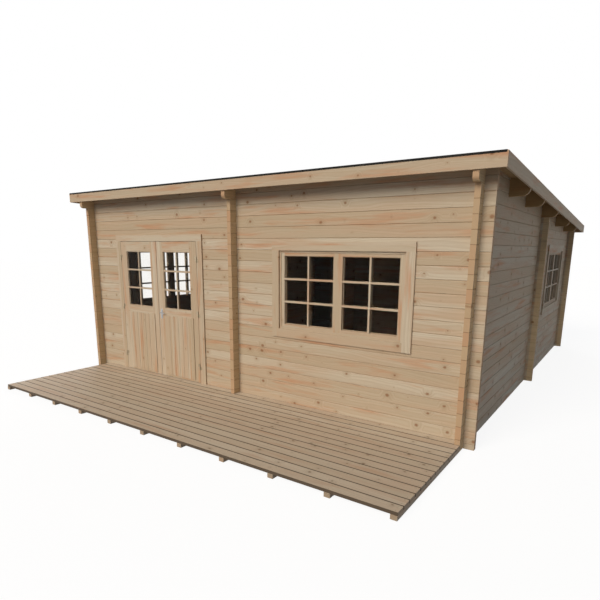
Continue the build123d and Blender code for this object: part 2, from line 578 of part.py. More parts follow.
def window(side, place):
    """A double window: frame with casings, two sashes and their glass."""
    half = WINDOW_WIDTH / 2
    clear = half - FRAME_THICKNESS
    low = WINDOW_SILL + FRAME_THICKNESS
    high = WINDOW_HEAD - FRAME_THICKNESS
    lip = half - WINDOW_CASING_LIP
    lip_low = WINDOW_SILL + WINDOW_CASING_LIP
    lip_high = WINDOW_HEAD - WINDOW_CASING_LIP
    edge = lip + CASING_WIDTH
    frame = block(-half, half, 0, LOG_THICKNESS, WINDOW_SILL, WINDOW_HEAD)
    frame -= block(-clear, clear, 0, LOG_THICKNESS, low, high)
    for near, far in ((-CASING_THICKNESS, 0), (LOG_THICKNESS, FRAME_BACK)):
        casing = block(-edge, edge, near, far, lip_low - CASING_WIDTH, lip_high + CASING_WIDTH)
        frame += casing - block(-lip, lip, near, far, lip_low, lip_high)
    sashes = []
    panes = []
    for way in (-1, 1):
        outer = way * (clear - SASH_CLEARANCE)
        meeting = way * SASH_CLEARANCE / 2
        sash_low = low + SASH_CLEARANCE
        sash_high = high - SASH_CLEARANCE
        back = SASH_SETBACK + SASH_THICKNESS
        glass_a = outer - way * SASH_STILE
        glass_b = meeting + way * SASH_MEETING_STILE
        glass_low = sash_low + SASH_RAIL
        glass_high = sash_high - SASH_RAIL
        middle = SASH_SETBACK + SASH_THICKNESS / 2
        sash = block(outer, meeting, SASH_SETBACK, back, sash_low, sash_high)
        sash -= block(glass_a, glass_b, SASH_SETBACK, back, glass_low, glass_high)
        sash -= block(
            glass_a + way * GLASS_EDGE, glass_b - way * GLASS_EDGE,
            middle - GLASS_THICKNESS / 2 - GLASS_CLEARANCE, middle + GLASS_THICKNESS / 2 + GLASS_CLEARANCE,
            glass_low - GLASS_EDGE, glass_high + GLASS_EDGE,
        )
        rim = GLASS_EDGE - GLASS_CLEARANCE
        pane = block(
            glass_a + way * rim, glass_b - way * rim,
            middle - GLASS_THICKNESS / 2, middle + GLASS_THICKNESS / 2, glass_low - rim, glass_high + rim,
        )
        sashes.append(place * sash)
        panes.append(place * pane)
    save(side + "_window_frame", place * frame.clean())
    save(side + "_window_sashes", *sashes)
    save(side + "_window_glass", *panes)


os.makedirs("parts", exist_ok=True)
front_wall()
side_wall("left", LEFT_FACE, 1, LEFT_WINDOW_FROM_FRONT)
side_wall("right", RIGHT_FACE, -1, RIGHT_WINDOW_MIDDLE)
back_wall()
inner_walls()
roof()
floor()
terrace()
door_frame()
doors()
window("front", Pos(FRONT_WINDOW_MIDDLE, 0, 0))
window("left", Pos(LEFT_FACE, LEFT_WINDOW_FROM_FRONT, 0) * Rot(0, 0, -90))
window("right", Pos(RIGHT_FACE, RIGHT_WINDOW_MIDDLE, 0) * Rot(0, 0, 90))
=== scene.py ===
# %% [markdown]
# # A log cabin, dressed for the camera
#
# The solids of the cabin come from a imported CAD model. This script gives them spruce, felt, glass and
# steel, adds the small pieces that only the eye needs, and sets up a studio with a camera.
# Everything is in metres. Z is up, +Y runs from the terrace to the back wall, and +X is to the right.

# %% Load the frame
import math

import bpy
import numpy as np
from mathutils import Matrix, Vector


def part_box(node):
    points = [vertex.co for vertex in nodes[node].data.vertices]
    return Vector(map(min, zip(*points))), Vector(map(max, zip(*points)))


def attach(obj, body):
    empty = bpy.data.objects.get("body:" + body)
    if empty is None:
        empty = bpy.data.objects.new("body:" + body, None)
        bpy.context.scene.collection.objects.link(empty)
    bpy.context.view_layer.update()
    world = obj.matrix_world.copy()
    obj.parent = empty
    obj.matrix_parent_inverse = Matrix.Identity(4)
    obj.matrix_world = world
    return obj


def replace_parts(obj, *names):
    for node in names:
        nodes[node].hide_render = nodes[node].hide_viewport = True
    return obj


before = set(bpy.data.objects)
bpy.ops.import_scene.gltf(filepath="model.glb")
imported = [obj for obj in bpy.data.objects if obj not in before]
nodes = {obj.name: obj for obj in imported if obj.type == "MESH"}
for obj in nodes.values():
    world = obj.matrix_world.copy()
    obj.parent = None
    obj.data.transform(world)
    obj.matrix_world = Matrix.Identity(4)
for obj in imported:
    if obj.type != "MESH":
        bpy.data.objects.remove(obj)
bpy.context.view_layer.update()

# %% [markdown]
# ## Three small helpers
#
# A shader is a graph, so each material below is a row of nodes that feed each other. One function adds a
# node with its settings and links, so the lines that follow read like a sum. Colours are written as sRGB
# hex, the way that a colour picker shows them, and one function makes them linear.

# %% Helpers for materials
# A Mix node holds its sockets for numbers and for colours side by side, so they are picked by place.
SHARE, FIRST_NUMBER, SECOND_NUMBER, FIRST_COLOUR, SECOND_COLOUR = 0, 2, 3, 6, 7
MIXED_COLOUR = 2


def linear(code):
    """sRGB hex to linear RGBA: a channel c gives ((c + 0.055) / 1.055) ** 2.4, or c / 12.92 near black."""
    channels = np.array([int(code[i:i + 2], 16) for i in (1, 3, 5)]) / 255
    curve = np.where(channels > 0.04045, ((channels + 0.055) / 1.055) ** 2.4, channels / 12.92)
    return (*curve.tolist(), 1.0)


def node(tree, kind, *values, out=0, named=None, **settings):
    """Add one node and give back one of its outputs. Values fill its inputs in order."""
    made = tree.nodes.new("ShaderNode" + kind)
    for key, setting in settings.items():
        setattr(made, key, setting)
    for key, value in [*enumerate(values), *(named or {}).items()]:
        if isinstance(value, bpy.types.NodeSocket):
            tree.links.new(value, made.inputs[key])
        else:
            made.inputs[key].default_value = value
    return made.outputs[out]


def new_material(name):
    """A node material with a Principled shader on its output, its tree and that shader."""
    material = bpy.data.materials.new(name)
    material.use_nodes = True
    return material, material.node_tree, material.node_tree.nodes["Principled BSDF"]


print("helpers ready, white is", linear("#FFFFFF"))

# %% [markdown]
# ## Planed spruce
#
# The walls are stacked spruce logs, planed smooth and left bare. Three things make spruce look like
# spruce: the growth rings, which show as stripes and arches on the sides and as arcs on the ends, the
# knots, and the way that each log has a tone of its own.
#
# A photo texture could give all that, but it stretches at corners and repeats. Here the wood is solid: a
# ring is a cylinder about the heart of the tree, so its formula is the distance from a line that wanders
# along the log. The same formula then draws stripes on the faces and arcs on the ends, with no seam at an
# edge.
#
# The first step is to know in which board a point lies, and where in it.

# %% Boards
AXES = "xyz"
WALL_SPACING = 0.3         # walls further apart than this have boards of their own
BOARD_SHIFT = 40.0         # boards start at places up to 40 m apart along the pattern, so none repeats


def within(tree, parts, boxes):
    """1 inside any of the boxes and 0 outside. A box gives (low, high) for some of the axis letters."""
    mask = 0.0
    for box in boxes:
        inside = 1.0
        for axis, (low, high) in box.items():
            band = node(tree, "Math", parts[AXES.index(axis)], (low + high) / 2, (high - low) / 2,
                        operation="COMPARE")
            inside = node(tree, "Math", band, inside, operation="MULTIPLY")
        mask = node(tree, "Math", inside, mask, operation="MAXIMUM")
    return mask


def swap(tree, mask, first, second):
    """The two sockets, changed over where the mask is 1."""
    return [node(tree, "Mix", named={SHARE: mask, FIRST_NUMBER: outside, SECOND_NUMBER: inside})
            for outside, inside in ((first, second), (second, first))]


def board_place(tree, run, cell, pitch, first, seed, turned):
    """Sockets that say where a point lies in its board.

    A board is the cell number floor((place - first) / pitch) along the cell axis, and three chances are
    drawn from that number, the wall and the seed. Along is the run plus a shift by chance, and across
    is (share of the cell - a chance) * pitch. Inside the turned boxes run and cell change places, as in
    a rail between two stiles.
    """
    parts = node(tree, "SeparateXYZ", node(tree, "TexCoord", out="Object")).node.outputs
    facing = node(tree, "SeparateXYZ", node(tree, "TexCoord", out="Normal")).node.outputs
    run_place = parts[AXES.index(run)]
    cell_place = parts[AXES.index(cell)]
    depth = parts[3 - AXES.index(run) - AXES.index(cell)]
    end = facing[AXES.index(run)]
    if turned:
        mask = within(tree, parts, turned)
        run_place, cell_place = swap(tree, mask, run_place, cell_place)
        end = swap(tree, mask, end, facing[AXES.index(cell)])[0]
    course = node(tree, "Math", cell_place, first, operation="SUBTRACT")
    course = node(tree, "Math", course, pitch, operation="DIVIDE")
    number = node(tree, "Math", course, operation="FLOOR")
    share = node(tree, "Math", course, operation="FRACT")
    wall = node(tree, "Math", depth, 1 / WALL_SPACING, 0.5 + seed, operation="MULTIPLY_ADD")
    wall = node(tree, "Math", wall, operation="FLOOR")
    chance = node(tree, "TexWhiteNoise", node(tree, "CombineXYZ", number, wall, seed), out="Color")
    luck = node(tree, "SeparateColor", chance).node.outputs
    along = node(tree, "Math", luck[0], BOARD_SHIFT, run_place, operation="MULTIPLY_ADD")
    across = node(tree, "Math", share, luck[1], operation="SUBTRACT")
    across = node(tree, "Math", across, pitch, operation="MULTIPLY")
    local = node(tree, "CombineXYZ", along, across, depth)
    return {"parts": parts, "end": end, "number": number, "share": share, "wall": wall, "luck": luck,
            "depth": depth, "along": along, "across": across, "local": local}


print("boards shift up to", BOARD_SHIFT, "m along the pattern")

# %% [markdown]
# A knot is the foot of a branch. In spruce they sit a hand or two apart, from the size of a pea to that
# of a coin, and the rings bend round them. A noise texture could give blots, but not their spacing. Here
# each length of a board gets one knot, at a place and of a size that are drawn by chance, and small ones
# hardly show.

# %% Knots
KNOT_SPACING = 0.31        # one knot at most in each 310 mm of a board
KNOT_RADIUS = 0.024        # the largest knots are about 40 mm across
KNOT_LEAST = 0.004
KNOT_CHANCE = 0.45         # below this chance a knot stays at its least radius
KNOT_EDGE = 0.014          # the edge of a knot is uneven every 14 mm
KNOT_RAGGED = 0.012        # and by up to 12 mm
KNOT_RUN_SHARES = (0.2, 0.8)
KNOT_CELL_SHARES = (0.15, 0.85)
KNOT_LENGTH_SHARE = 0.8    # knots look longer along the run, because distances there count less
KNOT_RIM = (0.55, 1.15)    # nearness, as a share of the radius, over which a knot fades into the wood
HALO_RIM = (0.8, 3.4)


def knot_marks(tree, place, pitch, size):
    """The knot and the halo round it: smooth ramps of nearness = (distance + ragged) / radius."""
    step = node(tree, "Math", place["along"], 1 / KNOT_SPACING, operation="MULTIPLY")
    length = node(tree, "Math", step, operation="FLOOR")
    spot = node(tree, "CombineXYZ", length, place["number"], place["wall"])
    dice = node(tree, "SeparateColor", node(tree, "TexWhiteNoise", spot, out="Color")).node.outputs
    middle_run = node(tree, "MapRange", dice[0], 0.0, 1.0, *KNOT_RUN_SHARES)
    middle_cell = node(tree, "MapRange", dice[1], 0.0, 1.0, *KNOT_CELL_SHARES)
    run_share = node(tree, "Math", step, operation="FRACT")
    off_run = node(tree, "Math", run_share, middle_run, operation="SUBTRACT")
    off_cell = node(tree, "Math", place["share"], middle_cell, operation="SUBTRACT")
    away = node(tree, "CombineXYZ",
                node(tree, "Math", off_run, KNOT_SPACING * KNOT_LENGTH_SHARE, operation="MULTIPLY"),
                node(tree, "Math", off_cell, pitch, operation="MULTIPLY"))
    ragged = node(tree, "TexNoise", place["local"], out="Fac",
                  named={"Scale": 1 / KNOT_EDGE, "Detail": 2.0})
    distance = node(tree, "VectorMath", away, operation="LENGTH", out="Value")
    distance = node(tree, "Math", ragged, KNOT_RAGGED, distance, operation="MULTIPLY_ADD")
    radius = node(tree, "MapRange", dice[2], KNOT_CHANCE, 1.0, KNOT_LEAST, KNOT_LEAST + KNOT_RADIUS * size)
    nearness = node(tree, "Math", distance, radius, operation="DIVIDE")
    return [node(tree, "MapRange", nearness, *rim, 1.0, 0.0, interpolation_type="SMOOTHSTEP")
            for rim in (KNOT_RIM, HALO_RIM)]


print("knots every", KNOT_SPACING * 1000, "mm at most")

# %% [markdown]
# Each year a tree adds a pale ring of early wood and a thin dark one of late wood. Along a board they run
# as stripes, and where the heart line comes near the face they close to arches. Streaks of resin, drifts
# of sapwood and the fine fibres lie along the board too, and each of them is a noise that is drawn out
# along the run.

# %% Rings, streaks and fibres
RING_WIDTH = 0.007         # late wood every 7 mm, about twice the real width, so that it shows from afar
RING_RAMP = (0.35, 0.95)   # the share of a ring over which early wood turns to late wood
HEART_DEPTH = 0.055        # how far the heart of the tree lies behind the face
HEART_REACH = 0.21         # depth runs to and fro over this length
HEART_SWAY = 0.07          # how far the heart line wanders to each side
HEART_SPREAD = (0.2, 0.8)  # values of the noise at which it is furthest to one side and to the other
HEART_BEND = (1.4, 0.5)    # the heart line bends over 1.4 m along and 0.5 m across
KNOT_PUSH = 0.012          # how far a knot pushes the rings outwards
STREAK = (0.77, 0.077)     # orange streaks, about 770 mm long and 77 mm wide
CLOUD = (1.4, 0.14)        # drifts of sapwood, about 1400 mm long and 140 mm wide
FIBRE = (0.11, 0.0026)     # fibres 2.6 mm wide, far coarser than real ones, so that they show
END_FACING = (0.6, 0.8)    # a face turns to end grain as its normal comes to lie this much along the run


def drawn_out(tree, place, size, detail):
    """Noise with marks of the given size, as (along, across) in metres."""
    along, across = size
    stretch = (1 / along, 1 / across, 1 / across)
    spread = node(tree, "VectorMath", place["local"], stretch, operation="MULTIPLY")
    return node(tree, "TexNoise", spread, out="Fac", named={"Scale": 1.0, "Detail": detail})


def late_wood(tree, place, halo):
    """A smooth ramp of the fraction of (distance from the heart line / ring width).

    Round a knot the distance is longer by the halo times KNOT_PUSH, so the rings bend.
    """
    wander = drawn_out(tree, place, HEART_BEND, 2.0)
    heart = node(tree, "MapRange", wander, *HEART_SPREAD, -HEART_SWAY, HEART_SWAY)
    sideways = node(tree, "Math", place["across"], heart, operation="ADD")
    depth = node(tree, "Math", place["depth"], HEART_REACH, operation="PINGPONG")
    depth = node(tree, "Math", depth, HEART_DEPTH, operation="ADD")
    out_from = node(tree, "CombineXYZ", sideways, depth, 0.0)
    distance = node(tree, "VectorMath", out_from, operation="LENGTH", out="Value")
    distance = node(tree, "Math", halo, KNOT_PUSH, distance, operation="MULTIPLY_ADD")
    ring = node(tree, "Math", distance, 1 / RING_WIDTH, operation="MULTIPLY")
    ring = node(tree, "Math", ring, operation="FRACT")
    return node(tree, "MapRange", ring, *RING_RAMP, 0.0, 1.0, interpolation_type="SMOOTHSTEP")


def grain(tree, run, cell, pitch, first, seed, knots, turned, ends_tinted_with_painted_bounce):
    """All the marks of a board, each from 0 to 1, and the distance to its nearest joint in metres."""
    place = board_place(tree, run, cell, pitch, first, seed, turned)
    knot, halo = knot_marks(tree, place, pitch, knots)
    edge = node(tree, "Math", place["share"], 0.5, operation="PINGPONG")
    facing = node(tree, "Math", place["end"], operation="ABSOLUTE")
    end = node(tree, "MapRange", facing, *END_FACING, 0.0, 1.0)
    return {"tone": place["luck"][2], "cloud": drawn_out(tree, place, CLOUD, 2.0),
            "streak": drawn_out(tree, place, STREAK, 4.0), "fibre": drawn_out(tree, place, FIBRE, 2.0),
            "halo": halo, "knot": knot, "late": late_wood(tree, place, halo), "end": end,
            "end_tone": node(tree, "Math", end, place["luck"][0], operation="MULTIPLY"),
            "yellow": within(tree, place["parts"], ends_tinted_with_painted_bounce),
            "joint": node(tree, "Math", edge, pitch, operation="MULTIPLY")}


print("rings every", RING_WIDTH * 1000, "mm")

# %% [markdown]
# The pattern becomes colour in a few mixes, from the palest wood to the darkest mark: a tone per log,
# sapwood that drifts to pink heartwood, orange streaks, the ends that stick out past the corners, made
# yellower and paler, partly as a tone of their own and partly as painted bounce light on their shaded
# sides, the end grain with a tone per log, the late wood, the knots, and last the thin dark line where
# two logs meet. One table holds the mixes, because it is easier to weigh them against each other there
# than in a long row of nodes.

# %% Spruce colours
# The yellow tint is partly a tone of the log ends past the corners and partly painted bounce light on their
# shaded sides.
SPRUCE = {"pale": "#D3CAB9", "warm": "#BAA78D", "cloud": "#C3AB92", "streak": "#C28E6B", "late": "#A1896C",
          "end": "#B9A284", "knot": "#83532E", "line": "#86694A", "yellow": "#E2C89E"}
# The roof palette is browner, and darker as painted shade for the underside of the eaves.
ROOF_PAINTED_SHADE = {"pale": "#BCA075", "warm": "#A98A5E", "cloud": "#AC8A60", "streak": "#A6784E", "late": "#8E7049",
        "end": "#B9A284", "knot": "#6E4E32", "line": "#5C4428", "yellow": "#BCA075"}
TERRACE = {"pale": "#D8CBB9", "warm": "#C6B59F", "cloud": "#CAB49E", "streak": "#C1A288", "late": "#A6957F",
           "end": "#9C8A75", "knot": "#775B44", "line": "#3E3022", "yellow": "#D0C3B1"}
# A mark that grows from its low to its high value mixes in a tint, from the least to the most share.
LAYERS = [
    # mark, low, high, least, most, tint
    ("tone", 0.0, 1.0, 0.15, 0.9, "warm"),
    ("cloud", 0.42, 0.66, 0.0, 0.8, "cloud"),
    ("streak", 0.53, 0.72, 0.0, 0.8, "streak"),
    ("halo", 0.0, 1.0, 0.0, 0.3, "late"),
    # partly painted bounce light: lifts the log ends past the corners, which shows most on their shaded
    # sides
    ("yellow", 0.0, 1.0, 0.0, 0.75, "yellow"),
    ("end", 0.0, 1.0, 0.0, 0.85, "end"),
    ("end_tone", 0.0, 1.0, 0.0, 0.6, "streak"),
    ("late", 0.0, 1.0, 0.0, 0.26, "late"),
    ("fibre", 0.45, 0.75, 0.0, 0.22, "late"),
    ("knot", 0.0, 1.0, 0.0, 0.7, "knot"),
]
LINE_CORE_SHARE = 0.4      # the middle of a joint line, as a share of its half width, is fully dark
END_LINE_GAIN = 2.0        # on the log ends a joint shows by this much more


def wood_colour(tree, marks, palette, line_half, line_share):
    """Colour socket: mixes of the palette by the marks of one grain pattern."""
    layers = [(node(tree, "MapRange", marks[mark], *ramp), palette[tint]) for mark, *ramp, tint in LAYERS]
    if line_half:
        core = line_half * LINE_CORE_SHARE
        line = node(tree, "MapRange", marks["joint"], core, line_half, line_share, 0.0)
        on_end = node(tree, "Math", marks["end"], line, operation="MULTIPLY")
        line = node(tree, "Math", on_end, END_LINE_GAIN, line, operation="MULTIPLY_ADD")
        layers.append((line, palette["line"]))
    colour = linear(palette["pale"])
    for share, tint in layers:
        colour = node(tree, "Mix", out=MIXED_COLOUR, data_type="RGBA",
                      named={SHARE: share, FIRST_COLOUR: colour, SECOND_COLOUR: linear(tint)})
    return colour


print("layers of colour:", len(LAYERS))

# %% [markdown]
# Planed spruce is matt, and a low light shows that its late wood stands up a little. So the finish adds a
# rough shine and a bump of about half a millimetre. The logs of the front wall lie half a course lower
# than those of the side walls, because they lap into each other at the corners.

# %% Spruce finishes of logs and boards
RELIEF = 0.0006
RELIEF_STRENGTH = 0.25
LATE_RELIEF_SHARE = 0.5    # late wood stands up half as much as the fibres do
NOISE_SPREAD = (0.3, 0.7)  # most of a noise lies between these values
WOOD_ROUGHNESS = (0.55, 0.75)
WOOD_SHINE = 0.25


def spruce(name, run, cell, pitch, first, palette=SPRUCE, line=0.0, line_share=0.5, seed=0.0, knots=1.0,
           turned=(), ends_tinted_with_painted_bounce=()):
    """Bare planed spruce: matt, with a faint relief of fibres and late wood."""
    material, tree, shader = new_material(name)
    marks = grain(tree, run, cell, pitch, first, seed, knots, turned, ends_tinted_with_painted_bounce)
    rough = node(tree, "MapRange", marks["fibre"], *NOISE_SPREAD, *WOOD_ROUGHNESS)
    height = node(tree, "Math", marks["late"], LATE_RELIEF_SHARE, marks["fibre"], operation="MULTIPLY_ADD")
    bump = node(tree, "Bump", named={"Strength": RELIEF_STRENGTH, "Distance": RELIEF, "Height": height})
    tree.links.new(wood_colour(tree, marks, palette, line, line_share), shader.inputs["Base Color"])
    tree.links.new(rough, shader.inputs["Roughness"])
    tree.links.new(bump, shader.inputs["Normal"])
    shader.inputs["Specular IOR Level"].default_value = WOOD_SHINE
    return material


LOG_HEIGHT = 0.135
LOG_LINE = {"line": 0.004, "line_share": 0.30}
ACROSS_JOINT = 0.053       # height of the first joint in the front and back walls
ALONG_JOINT = 0.1205       # half a course higher, in the side walls
WIDE_BOARD = (0.6, -0.1)   # pitch and first joint for boards that have no joint of their own
FASCIA_BOARD = (0.168, 0.121)
UPRIGHT_BOARD = (0.12, 0.02)
FLOOR_TO_OUTSIDE = 0.09    # from the edge of the floor boards to just past the outer face of a side wall
FRONT_CORNER = 0.5
FAR = 9.0

wall_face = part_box("front_sill_log")[0].y
wall_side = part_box("floor_boards")[1].x + FLOOR_TO_OUTSIDE
# Boxes of the log ends past the corners, which take the yellow tint: partly their own tone, partly painted
# bounce light on their shaded sides.
right_ends = {"x": (wall_side, FAR), "y": (wall_face + FRONT_CORNER, FAR)}
left_ends = {"x": (-FAR, -wall_side)}
front_ends = {"y": (-FAR, wall_face)}
log_across = spruce("planed_spruce_logs_across", "x", "z", LOG_HEIGHT, ACROSS_JOINT, **LOG_LINE,
                    ends_tinted_with_painted_bounce=[right_ends, left_ends])
log_along = spruce("planed_spruce_logs_along", "y", "z", LOG_HEIGHT, ALONG_JOINT, **LOG_LINE, seed=3.0,
                   ends_tinted_with_painted_bounce=[front_ends])
board_across = spruce("planed_spruce_boards_across", "x", "z", *WIDE_BOARD, seed=2.0)
fascia_across = spruce("planed_spruce_fascias_across", "x", "z", *FASCIA_BOARD, seed=6.0)
board_along = spruce("planed_spruce_boards_along", "y", "z", *WIDE_BOARD, seed=7.0)
board_upright = spruce("planed_spruce_boards_upright", "z", "x", *UPRIGHT_BOARD, seed=9.0, knots=0.7)
print("front wall at y", round(wall_face, 3), "and side walls at x", round(wall_side, 3))

# %% [markdown]
# Roof, floor and terrace are narrow boards side by side, so their cells are as wide as a board. The
# roof's wood is browner, and painted darker as shade for the underside of the eaves. The terrace has
# seen rain: it is greyer, and its boards are darker along the edges of each gap. Roof and floor are
# plates in the CAD model. They could be cut into boards, but a dark line in the pattern looks the same
# and costs no faces. The terrace boards lie apart there, and the pattern keeps step with them.

# %% Boards of roof, floor and terrace
LINING_WIDTH = 0.096
TERRACE_BOARDS = 14
TERRACE_GAP = 0.006
TERRACE_JOISTS = 11
TERRACE_JOIST_WIDTH = 0.058

deck_low, deck_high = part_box("terrace_boards")
deck_pitch = (deck_high.y - deck_low.y + TERRACE_GAP) / TERRACE_BOARDS
deck_first = deck_low.y - TERRACE_GAP / 2
joist_pitch = (deck_high.x - deck_low.x - TERRACE_JOIST_WIDTH) / (TERRACE_JOISTS - 1)
joist_first = deck_low.x - joist_pitch / 2
roof_lining = spruce("planed_spruce_roof_boards", "y", "x", LINING_WIDTH, 0.0, ROOF_PAINTED_SHADE, line=0.004, seed=11.0)
roof_beams = spruce("planed_spruce_roof_purlins", "x", "z", *WIDE_BOARD, ROOF_PAINTED_SHADE, seed=12.0)
floor_planks = spruce("planed_spruce_floor_boards", "y", "x", LINING_WIDTH, 0.0, line=0.002, seed=13.0)
# Its dark line darkens the boards along the edges of each gap.
terrace_planks = spruce("planed_spruce_terrace_boards", "x", "y", deck_pitch, deck_first, TERRACE,
                        line=0.010, line_share=0.9, seed=15.0, knots=0.8)
terrace_beams = spruce("planed_spruce_terrace_joists", "y", "x", joist_pitch, joist_first, TERRACE,
                       seed=17.0)
print("terrace boards every", round(deck_pitch * 1000, 1), "mm")

# %% [markdown]
# Doors and windows are joinery: stiles and jambs stand upright, and rails and heads lie across between
# them. They could be cut into a piece per board, but the solids are whole frames. So one material per
# frame holds both ways of the grain, and boxes say where it is turned.

# %% Joinery
GLASS_EDGE = 0.0077        # how far a pane reaches into its frame
MIDDLE_RAIL = 0.100
BOTTOM_RAIL = 0.030
CASING = 0.100
CASING_CELL = (0.6, 0.2)
SASH_CELL = (0.4, 0.1)
LEAF_CELL = (0.18, 0.02)
WINDOWS = {"front": ("x", 0), "left": ("y", 1), "right": ("y", 1)}


def leaf_rails(side):
    """Boxes of the top, middle and bottom rail of one door leaf, between its stiles."""
    low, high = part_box(side + "_door_leaf")
    pane_low, pane_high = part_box(side + "_door_glass")
    span = (pane_low.x + GLASS_EDGE, pane_high.x - GLASS_EDGE)
    bands = [(pane_high.z - GLASS_EDGE, high.z), (pane_low.z - MIDDLE_RAIL, pane_low.z + GLASS_EDGE),
             (low.z, low.z + BOTTOM_RAIL)]
    return [{"x": span, "z": band} for band in bands]


def casing_boards(side):
    """Boxes of a window's head and sill casings, and of the frame's head and sill."""
    axis, index = WINDOWS[side]
    low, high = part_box(side + "_window_frame")
    sash_low, sash_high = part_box(side + "_window_sashes")
    wide = (low[index], high[index])
    between = (low[index] + CASING, high[index] - CASING)
    inner = (sash_low[index], sash_high[index])
    return [{axis: wide, "z": (high.z - CASING, high.z)}, {axis: between, "z": (low.z, low.z + CASING)},
            {axis: inner, "z": (sash_high.z, high.z)}, {axis: inner, "z": (low.z, sash_low.z)}]


def sash_rails(side):
    """Boxes of the top and bottom rails of a window's two sashes, between their stiles."""
    axis, index = WINDOWS[side]
    low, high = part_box(side + "_window_sashes")
    pane_low, pane_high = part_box(side + "_window_glass")
    middle = (low[index] + high[index]) / 2
    stile = pane_low[index] + GLASS_EDGE - low[index]
    spans = [(low[index] + stile, middle - stile), (middle + stile, high[index] - stile)]
    bands = [(low.z, pane_low.z + GLASS_EDGE), (pane_high.z - GLASS_EDGE, high.z)]
    return [{axis: span, "z": band} for span in spans for band in bands]


leaf_wood = spruce("planed_spruce_door_leaves", "z", "x", *LEAF_CELL, seed=19.0, knots=0.6,
                   turned=leaf_rails("left") + leaf_rails("right"))
front_casing_wood = spruce("planed_spruce_front_casings", "z", "x", *CASING_CELL, seed=21.0,
                           turned=casing_boards("front"))
front_sash_wood = spruce("planed_spruce_front_sashes", "z", "x", *SASH_CELL, seed=23.0, knots=0.5,
                         turned=sash_rails("front"))
side_casing_wood = spruce("planed_spruce_side_casings", "z", "y", *CASING_CELL, seed=25.0,
                          turned=casing_boards("left") + casing_boards("right"))
side_sash_wood = spruce("planed_spruce_side_sashes", "z", "y", *SASH_CELL, seed=27.0, knots=0.5,
                        turned=sash_rails("left") + sash_rails("right"))
print("spruce finishes:", sum(made.name.startswith("planed_spruce") for made in bpy.data.materials))

# %% [markdown]
# ## Felt, glass and steel
#
# The roof is covered with mineral felt, which is bitumen with dark grit rolled into it. It comes in
# strips, and each roll has a shade of its own, so the strips are laid out first. The slope is read from
# the roof boards, which saves writing an angle that the solids hold already.

# %% The roof's slope and the strips of felt on it
FELT_WIDTH = 1.0
FELT_STEP_SHARE = 0.92     # at most this share of a strip stays uncovered by the next one
BOARD_THICKNESS = 0.016

felt_low, felt_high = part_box("roof_felt")
board_low, board_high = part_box("roof_boards")
roof_run = board_high.y - board_low.y
roof_fall = board_high.z - board_low.z - BOARD_THICKNESS
roof_length = math.hypot(roof_run, roof_fall)
slope = np.array([0.0, roof_run, -roof_fall]) / roof_length
square = np.array([0.0, roof_fall, roof_run]) / roof_length
eave = np.array([0.0, board_low.y, board_high.z])
strip_count = math.ceil((roof_length - FELT_WIDTH) / (FELT_WIDTH * FELT_STEP_SHARE)) + 1
strip_step = (roof_length - FELT_WIDTH) / (strip_count - 1)
print("felt strips:", strip_count, "every", round(strip_step, 3), "m")

# %% [markdown]
# The panes are plain float glass, which shows the dark rooms. The hinges and screws are zinc-plated steel
# with a yellow cast, and the lever handle is satin steel. Each could be one flat colour, but grit, polish
# and brushing break up the light even where they are too fine to see, so each finish has a fine noise.

# %% Felt, glass and steel finishes
GRIT = 0.0024
FELT_PATCH = 0.33
GLASS_RIPPLE = 0.2
BRUSH = (0.001, 0.016)     # scratches 1 mm wide and 16 mm long, much coarser than real ones
GRIT_SHARE = 0.7           # how much grit, patches and rolls each add to the shade of the felt
PATCH_SHARE = 0.3
ROLL_SHARE = 0.1
FELT_SPREAD = (0.38, 0.72)


def mineral_felt():
    """Bitumen felt with mineral grit: near-black and very rough, with a shade for each strip."""
    material, tree, shader = new_material("gritted_bitumen_felt")
    place = node(tree, "TexCoord", out="Object")
    y = node(tree, "SeparateXYZ", place, out=1)
    strip = node(tree, "Math", y, board_low.y, operation="SUBTRACT")
    strip = node(tree, "Math", strip, strip_step, operation="DIVIDE")
    strip = node(tree, "Math", strip, operation="FLOOR")
    roll = node(tree, "TexWhiteNoise", noise_dimensions="1D", named={"W": strip})
    grit = node(tree, "TexNoise", place, out="Fac", named={"Scale": 1 / GRIT, "Detail": 2.0})
    patch = node(tree, "TexNoise", place, out="Fac", named={"Scale": 1 / FELT_PATCH, "Detail": 3.0})
    shade = node(tree, "Math", patch, PATCH_SHARE, operation="MULTIPLY")
    shade = node(tree, "Math", grit, GRIT_SHARE, shade, operation="MULTIPLY_ADD")
    shade = node(tree, "Math", roll, ROLL_SHARE, shade, operation="MULTIPLY_ADD")
    speck = node(tree, "MapRange", shade, *FELT_SPREAD, 0.0, 1.0)
    colour = node(tree, "Mix", out=MIXED_COLOUR, data_type="RGBA",
                  named={SHARE: speck, FIRST_COLOUR: linear("#100F0F"), SECOND_COLOUR: linear("#343331")})
    bump = node(tree, "Bump", named={"Strength": 0.6, "Distance": 0.001, "Height": grit})
    tree.links.new(colour, shader.inputs["Base Color"])
    tree.links.new(bump, shader.inputs["Normal"])
    shader.inputs["Roughness"].default_value = 0.95
    shader.inputs["Specular IOR Level"].default_value = 0.2
    return material


def float_glass():
    """Clear float glass: it lets light through, with a faint ripple in its polish and little shine."""
    material, tree, shader = new_material("float_glass")
    place = node(tree, "TexCoord", out="Object")
    ripple = node(tree, "TexNoise", place, out="Fac", named={"Scale": 1 / GLASS_RIPPLE, "Detail": 1.0})
    tint = node(tree, "Mix", out=MIXED_COLOUR, data_type="RGBA",
                named={SHARE: ripple, FIRST_COLOUR: linear("#FFFFFF"), SECOND_COLOUR: linear("#F6F4F0")})
    bump = node(tree, "Bump", named={"Strength": 0.04, "Distance": 0.001, "Height": ripple})
    tree.links.new(tint, shader.inputs["Base Color"])
    tree.links.new(bump, shader.inputs["Normal"])
    shader.inputs["Roughness"].default_value = 0.0
    # Real glass has 1.5. A lower index keeps the image of the white studio off the panes,
    # so that the rooms behind them look dark.
    shader.inputs["IOR"].default_value = 1.1
    shader.inputs["Transmission Weight"].default_value = 1.0
    return material


